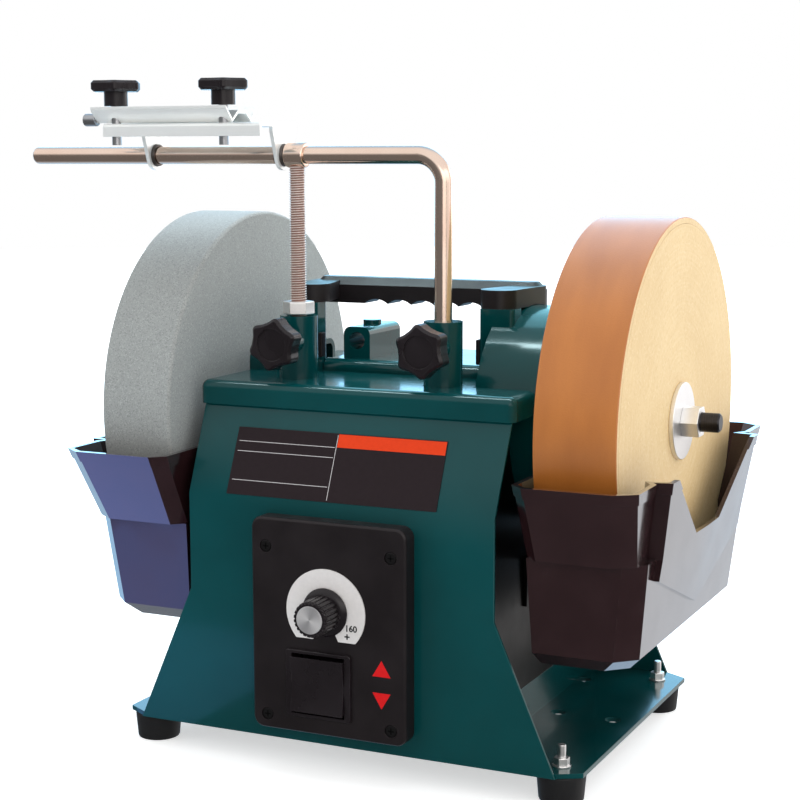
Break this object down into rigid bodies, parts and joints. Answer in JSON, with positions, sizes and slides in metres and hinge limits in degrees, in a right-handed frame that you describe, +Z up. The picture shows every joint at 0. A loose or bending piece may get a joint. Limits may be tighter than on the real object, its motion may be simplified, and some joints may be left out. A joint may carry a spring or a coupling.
{
  "type": "wet knife sharpener",
  "caption": "Slow-running wet bench sharpener with a stone wheel, a leather honing wheel, water troughs, a tool-support bar with a knife jig, and a speed dial.",
  "frame": {"origin": "on the floor, under the middle of the whole machine", "axes": "+X along the spindle towards the leather wheel, +Y to the rear, +Z up"},
  "size_m": [0.455, 0.3058, 0.4237],
  "materials": {
    "green_paint": "glossy teal-green paint",
    "black_paint": "glossy black paint",
    "black_plastic": "moulded, satin",
    "white_plastic": "thin printed disc",
    "trough_plastic": "glossy purple-black",
    "aluminium": "spun or cast",
    "zinc": "zinc plated",
    "plated_steel": "bright plated bar",
    "bronze": "sintered bushes",
    "steel": "machined",
    "motor_iron": "grey enamel",
    "board": "circuit board with its parts",
    "rubber": "moulded",
    "stone": "fine speckled grit",
    "wheel_core": "pale tan fibreboard face",
    "leather": "orange-brown fine grain"
  },
  "bodies": {
    "frame": {"base_plate": "green_paint", "front_panel": "green_paint", "rear_panel": "green_paint", "side_panel_left": "black_paint", "side_panel_right": "black_paint", "top_cover": "green_paint", "gear_housing": "green_paint", "bearing_housing": "green_paint", "gear_plate": "aluminium", "handle": "black_plastic", "post_plugs": "black_plastic", "sleeve_left": "green_paint", "sleeve_right": "green_paint", "horizontal_sleeve": "green_paint", "feet": "rubber", "foot_bolts": "zinc", "control_box": "black_plastic", "dial_ring": "white_plastic", "switch_body": "black_plastic", "potentiometer": "black_plastic", "speed_board": "board", "motor_body": "motor_iron", "cable_gland": "black_plastic", "trough_hanger_left": "black_paint", "trough_hanger_right": "black_paint", "bearing_outer_rings": "steel"},
    "spindle_group": {"spindle": "steel", "stone_wheel": "stone", "leather_wheel": "wheel_core", "leather_tread": "leather", "wheel_collars": "zinc", "wheel_washers": "zinc", "wheel_nuts": "zinc", "drive_gear": "steel", "bearing_inner_rings": "steel"},
    "idler": {"idler_shaft": "steel", "idler_gear": "steel", "idler_pinion": "steel"},
    "rotor": {"motor_shaft": "steel", "motor_pinion": "steel"},
    "speed_dial": {"speed_knob": "black_plastic", "knob_cap": "aluminium", "pot_shaft": "steel"},
    "rocker_switch": {"rocker": "black_plastic"},
    "lock_left": {"lock_knob_left": "black_plastic"},
    "lock_right": {"lock_knob_right": "black_plastic"},
    "support": {"support_bar": "plated_steel", "threaded_leg": "zinc"},
    "height_wheel": {"height_nut": "zinc"},
    "jig_slider": {"jig_bushes": "bronze"},
    "jig_table": {"jig_base": "zinc"},
    "jig_press": {"jig_clamp": "zinc", "jig_stub": "zinc"},
    "jig_screw_left": {"jig_knob_left": "black_plastic"},
    "jig_screw_right": {"jig_knob_right": "black_plastic"},
    "left_tub": {"trough_left": "trough_plastic"},
    "right_tub": {"trough_right": "trough_plastic"}
  },
  "joints": [
    {"name": "spindle_spin", "type": "hinge", "parent": "frame", "child": "spindle_group", "pos_m": [0.0255, 0.0051, 0.214], "axis": [1, 0, 0], "continuous": true},
    {"name": "idler_spin", "type": "hinge", "parent": "frame", "child": "idler", "pos_m": [0.1155, 0.04481, 0.16317], "axis": [1, 0, 0], "continuous": true},
    {"name": "rotor_spin", "type": "hinge", "parent": "frame", "child": "rotor", "pos_m": [0.0955, 0.00984, 0.13485], "axis": [1, 0, 0], "continuous": true},
    {"name": "speed_turn", "type": "hinge", "parent": "frame", "child": "speed_dial", "pos_m": [0.0245, -0.1349, 0.105], "axis": [0, 1, 0], "range_deg": [0, 270]},
    {"name": "rocker_tip", "type": "hinge", "parent": "frame", "child": "rocker_switch", "pos_m": [0.0195, -0.1279, 0.0587], "axis": [1, 0, 0], "range_deg": [-12, 12]},
    {"name": "lock_left_turn", "type": "hinge", "parent": "frame", "child": "lock_left", "pos_m": [-0.0288, -0.0799, 0.261], "axis": [0, -1, 0], "range_deg": [0, 360]},
    {"name": "lock_right_turn", "type": "hinge", "parent": "frame", "child": "lock_right", "pos_m": [0.0711, -0.0799, 0.261], "axis": [0, -1, 0], "range_deg": [0, 360]},
    {"name": "height_nut_turn", "type": "hinge", "parent": "frame", "child": "height_wheel", "pos_m": [-0.0288, -0.0619, 0.281], "axis": [0, 0, 1], "range_deg": [-4800, 8400]},
    {"name": "support_lift", "type": "slide", "parent": "frame", "child": "support", "axis": [0, 0, 1], "range_m": [-0.035, 0.02]},
    {"name": "jig_along_bar", "type": "slide", "parent": "support", "child": "jig_slider", "axis": [1, 0, 0], "range_m": [-0.06, 0]},
    {"name": "jig_tilt", "type": "hinge", "parent": "jig_slider", "child": "jig_table", "pos_m": [-0.0945, -0.0619, 0.3767], "axis": [1, 0, 0], "range_deg": [-30, 30]},
    {"name": "clamp_lift", "type": "slide", "parent": "jig_table", "child": "jig_press", "axis": [0, 0, 1], "range_m": [0, 0.004]},
    {"name": "jig_screw_left_turn", "type": "hinge", "parent": "jig_press", "child": "jig_screw_left", "pos_m": [-0.1458, -0.0869, 0.415], "axis": [0, 0, 1], "range_deg": [0, 1440]},
    {"name": "jig_screw_right_turn", "type": "hinge", "parent": "jig_press", "child": "jig_screw_right", "pos_m": [-0.0668, -0.0869, 0.415], "axis": [0, 0, 1], "range_deg": [0, 1440]},
    {"name": "trough_left_lift", "type": "slide", "parent": "frame", "child": "left_tub", "axis": [0, 0, 1], "range_m": [0, 0.005]},
    {"name": "trough_right_lift", "type": "slide", "parent": "frame", "child": "right_tub", "axis": [0, 0, 1], "range_m": [0, 0.005]}
  ],
  "couplings": [
    {"joint": "idler_spin", "follows": "spindle_spin", "ratio": -5.1429},
    {"joint": "rotor_spin", "follows": "spindle_spin", "ratio": 25.714},
    {"joint": "height_nut_turn", "follows": "support_lift", "rad_per_m": -4188.8},
    {"joint": "jig_screw_left_turn", "follows": "clamp_lift", "rad_per_m": 6283.2},
    {"joint": "jig_screw_right_turn", "follows": "clamp_lift", "rad_per_m": 6283.2}
  ]
}
